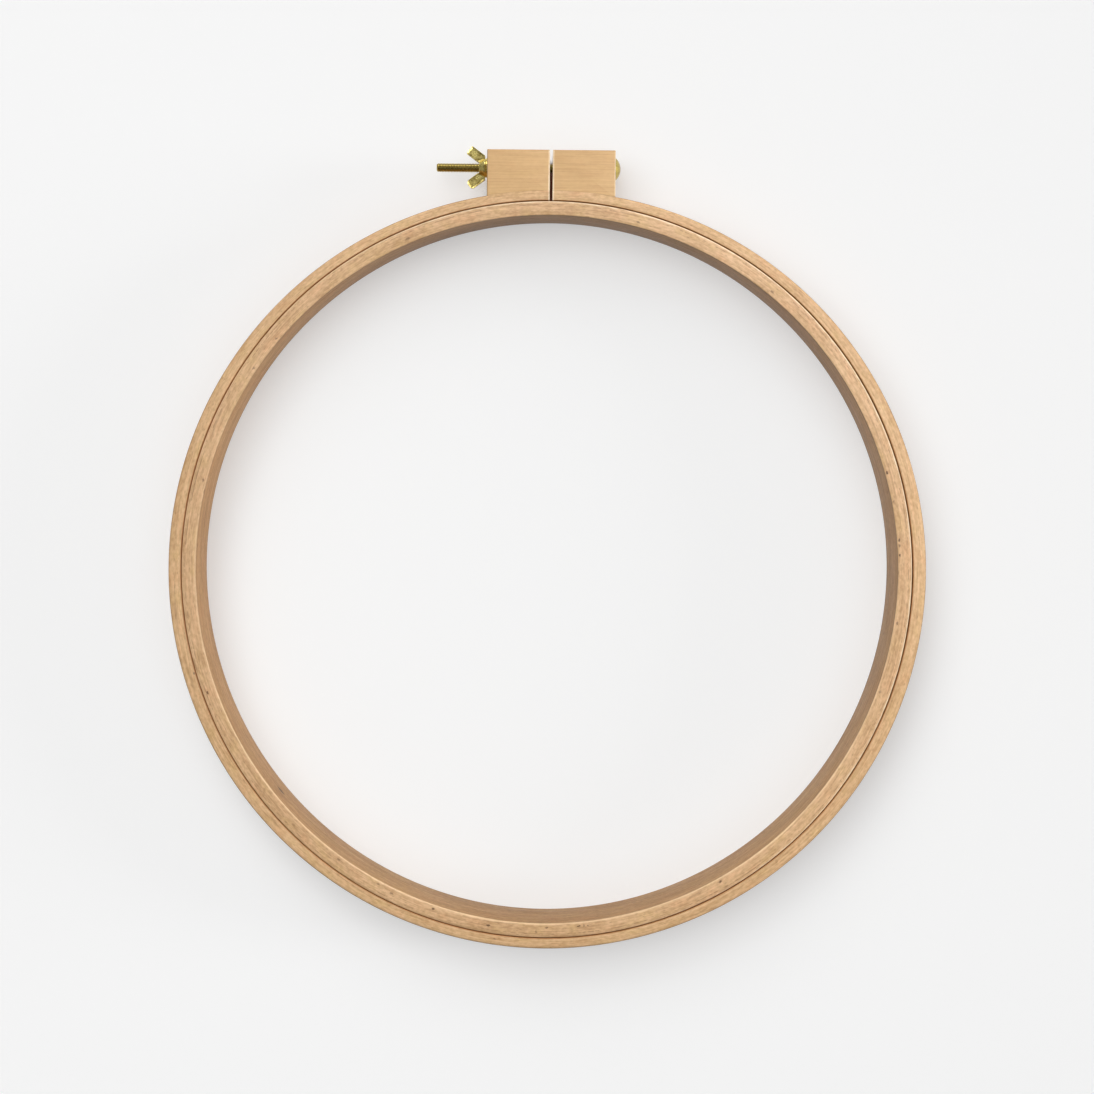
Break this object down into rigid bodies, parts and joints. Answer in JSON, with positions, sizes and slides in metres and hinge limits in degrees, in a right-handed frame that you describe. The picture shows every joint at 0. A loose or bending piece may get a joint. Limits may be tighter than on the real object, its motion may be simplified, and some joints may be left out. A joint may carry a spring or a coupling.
{
  "type": "embroidery hoop",
  "caption": "Round wooden screw hoop: a closed inner ring inside a split outer ring, drawn tight by a brass bolt and wing nut through glued lugs.",
  "frame": {"origin": "centre of the hoop, on its axis at mid height", "axes": "+Z along the hoop's axis, +Y towards the clamp, +X towards the bolt's domed head"},
  "size_m": [0.34, 0.3621, 0.024],
  "materials": {
    "beech_ring": "sanded, bare beech, grain along the bend",
    "beech_lug": "sanded, bare beech, grain along the bolt",
    "brass": "bright rolled and cast brass"
  },
  "bodies": {
    "outer_hoop": {"outer_ring": "beech_ring", "right_lug": "beech_lug", "clamp_bolt": "brass"},
    "inner_hoop": {"inner_ring": "beech_ring"},
    "left_end": {"left_lug": "beech_lug"},
    "nut_seat": {"washer": "brass"},
    "wing_nut": {"wing_nut": "brass"}
  },
  "joints": [
    {"name": "inner_ring_slide", "type": "slide", "parent": "outer_hoop", "child": "inner_hoop", "axis": [0, 0, 1], "range_m": [-0.03, 0.03]},
    {"name": "nut_travel", "type": "slide", "parent": "outer_hoop", "child": "nut_seat", "axis": [-1, 0, 0], "range_m": [0, 0.00717]},
    {"name": "wing_nut_turn", "type": "hinge", "parent": "nut_seat", "child": "wing_nut", "pos_m": [-0.02965, 0.182, 0], "axis": [-1, 0, 0], "range_deg": [0, 3690]},
    {"name": "ring_spread", "type": "hinge", "parent": "outer_hoop", "child": "left_end", "pos_m": [0, -0.17, 0], "axis": [0, 0, 1], "range_deg": [0, 1.16], "deforming": ["outer_ring"]}
  ],
  "couplings": [
    {"joint": "wing_nut_turn", "follows": "nut_travel", "rad_per_m": 8976},
    {"joint": "ring_spread", "follows": "nut_travel", "rad_per_m": 2.8}
  ]
}
